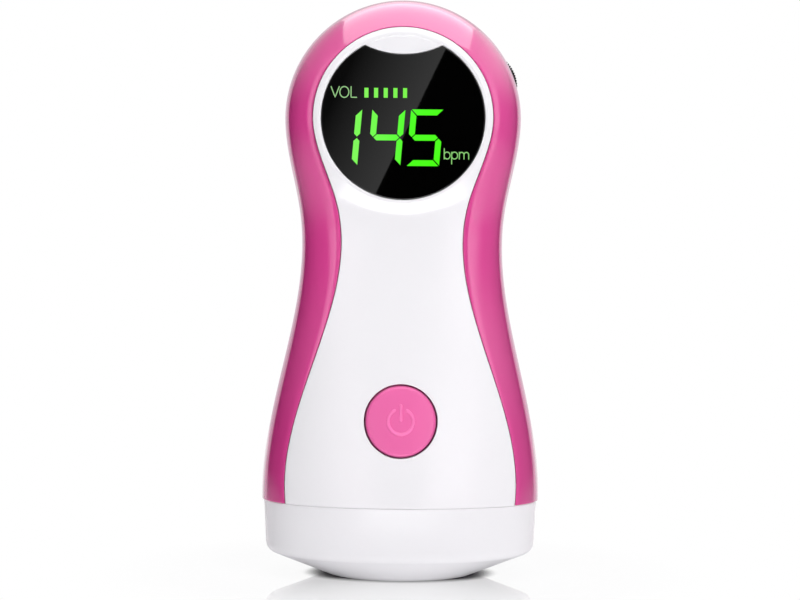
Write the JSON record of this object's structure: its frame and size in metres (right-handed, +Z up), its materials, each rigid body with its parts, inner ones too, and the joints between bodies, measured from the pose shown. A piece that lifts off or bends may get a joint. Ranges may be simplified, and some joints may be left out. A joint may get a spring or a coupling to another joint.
{
  "type": "fetal doppler monitor",
  "caption": "Hand-held keyhole-shaped monitor with a round lit display, one power button, a volume thumbwheel, a battery door and an ultrasound probe face in its base.",
  "frame": {"origin": "middle of the flat probe face that the monitor stands on", "axes": "+Z up towards the display, the display and button face -Y, +X to the right seen from the front"},
  "size_m": [0.0696, 0.054, 0.144],
  "materials": {
    "front_white": "satin moulded ABS",
    "shell_pink": "gloss moulded ABS",
    "base_white": "satin moulded ABS",
    "window_black": "polished acrylic with a black back print",
    "lit_green": "lit",
    "button_pink": "gloss moulded ABS",
    "wheel_black": "moulded nylon",
    "screw_steel": "zinc plated",
    "spring_steel": "nickel plated",
    "black_rubber": "moulded silicone",
    "foam_black": "closed-cell foam",
    "probe_grey": "acoustic window resin",
    "cup_black": "moulded",
    "crystal_grey": "fired piezo ceramic",
    "cork_brown": "cork sheet",
    "resin_grey": "filled resin",
    "cable_black": "sheath",
    "lead_red": "insulation",
    "board_green": "solder resist",
    "chip_black": "moulded package",
    "capacitor_sleeve": "shrink sleeve",
    "connector_white": "moulded nylon",
    "module_black": "moulded reflector",
    "switch_black": "moulded",
    "plunger_red": "moulded",
    "shaft_metal": "turned",
    "potentiometer_case": "moulded",
    "jack_black": "moulded",
    "barrel_nickel": "nickel plated brass",
    "basket_steel": "painted",
    "cone_film": "polyester film",
    "magnet_steel": "plated cup",
    "tray_white": "moulded ABS",
    "cell_left": "printed sleeve",
    "cell_right": "printed sleeve",
    "contact_nickel": "nickel plated"
  },
  "bodies": {
    "casing": {"front_cover": "front_white", "rear_shell": "shell_pink", "base_cap": "base_white", "case_screws": "screw_steel", "battery_tray": "tray_white", "contact_plates": "contact_nickel", "contact_springs": "spring_steel", "battery_left": "cell_left", "battery_right": "cell_right", "display_window": "window_black", "lit_digits": "lit_green", "volume_bars": "lit_green", "window_gasket": "foam_black", "display_module": "module_black", "switch_body": "switch_black", "switch_board": "board_green", "switch_board_screws": "screw_steel", "switch_leads": "lead_red", "main_board": "board_green", "board_screws": "screw_steel", "processor_chip": "chip_black", "amplifier_chip": "chip_black", "capacitors": "capacitor_sleeve", "probe_connector": "connector_white", "volume_potentiometer": "potentiometer_case", "earphone_jack": "jack_black", "jack_barrel": "barrel_nickel", "speaker_frame": "basket_steel", "speaker_cone": "cone_film", "speaker_magnet": "magnet_steel", "speaker_leads": "lead_red", "battery_leads": "lead_red", "transducer_face": "probe_grey", "transducer_seal": "black_rubber", "transducer_cup": "cup_black", "transmit_crystal": "crystal_grey", "receive_crystal": "crystal_grey", "crystal_divider": "cork_brown", "crystal_backing": "resin_grey", "transducer_cable": "cable_black"},
    "power_button": {"power_button": "button_pink", "switch_plunger": "plunger_red"},
    "volume_wheel": {"volume_wheel": "wheel_black", "volume_shaft": "shaft_metal", "wheel_screw": "screw_steel"},
    "battery_door": {"battery_door": "shell_pink"}
  },
  "joints": [
    {"name": "power_button_press", "type": "slide", "parent": "casing", "child": "power_button", "axis": [0, 1, 0], "range_m": [0, 0.0005], "stiffness_N_per_m": 4000, "springref_m": -0.0002},
    {"name": "volume_wheel_turn", "type": "hinge", "parent": "casing", "child": "volume_wheel", "pos_m": [0.01984, 0.0021, 0.12272], "axis": [0, 1, 0], "range_deg": [-150, 150]},
    {"name": "battery_door_open", "type": "hinge", "parent": "casing", "child": "battery_door", "pos_m": [0, 0.0241, 0.037], "axis": [-1, 0, 0], "range_deg": [0, 40]}
  ]
}
